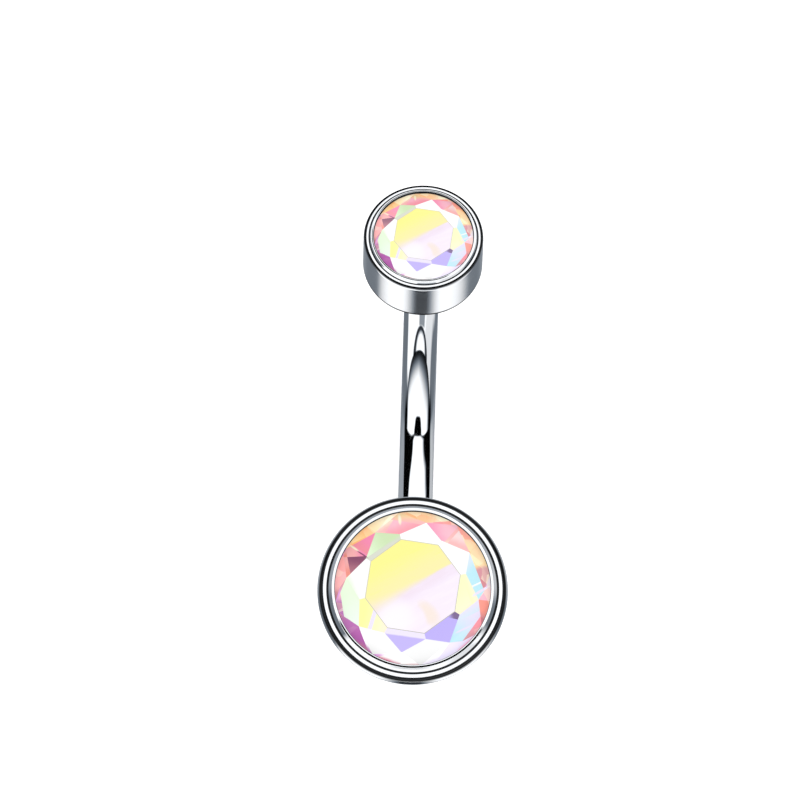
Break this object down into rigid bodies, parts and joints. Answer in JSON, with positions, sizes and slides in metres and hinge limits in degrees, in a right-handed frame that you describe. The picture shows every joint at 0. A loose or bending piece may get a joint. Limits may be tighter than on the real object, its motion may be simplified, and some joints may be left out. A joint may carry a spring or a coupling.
{
  "type": "navel ring",
  "caption": "Body jewellery bar bent to a quarter circle, with a round cut stone in a bezel setting soldered to its lower end and a smaller one screwed on its top end.",
  "frame": {"origin": "centre of the lower setting's flat back, on the surface that the ring lies on", "axes": "+Z the way that the lower stone faces, +Y along the bar towards the top end, +X across"},
  "size_m": [0.008, 0.0204, 0.009],
  "materials": {
    "polished_titanium": "polished",
    "coated_crystal": "faceted, with an iridescent coating"
  },
  "bodies": {
    "root": {"curved_bar": "polished_titanium", "lower_stone": "coated_crystal", "top_setting": "polished_titanium", "top_stone": "coated_crystal"}
  },
  "joints": []
}
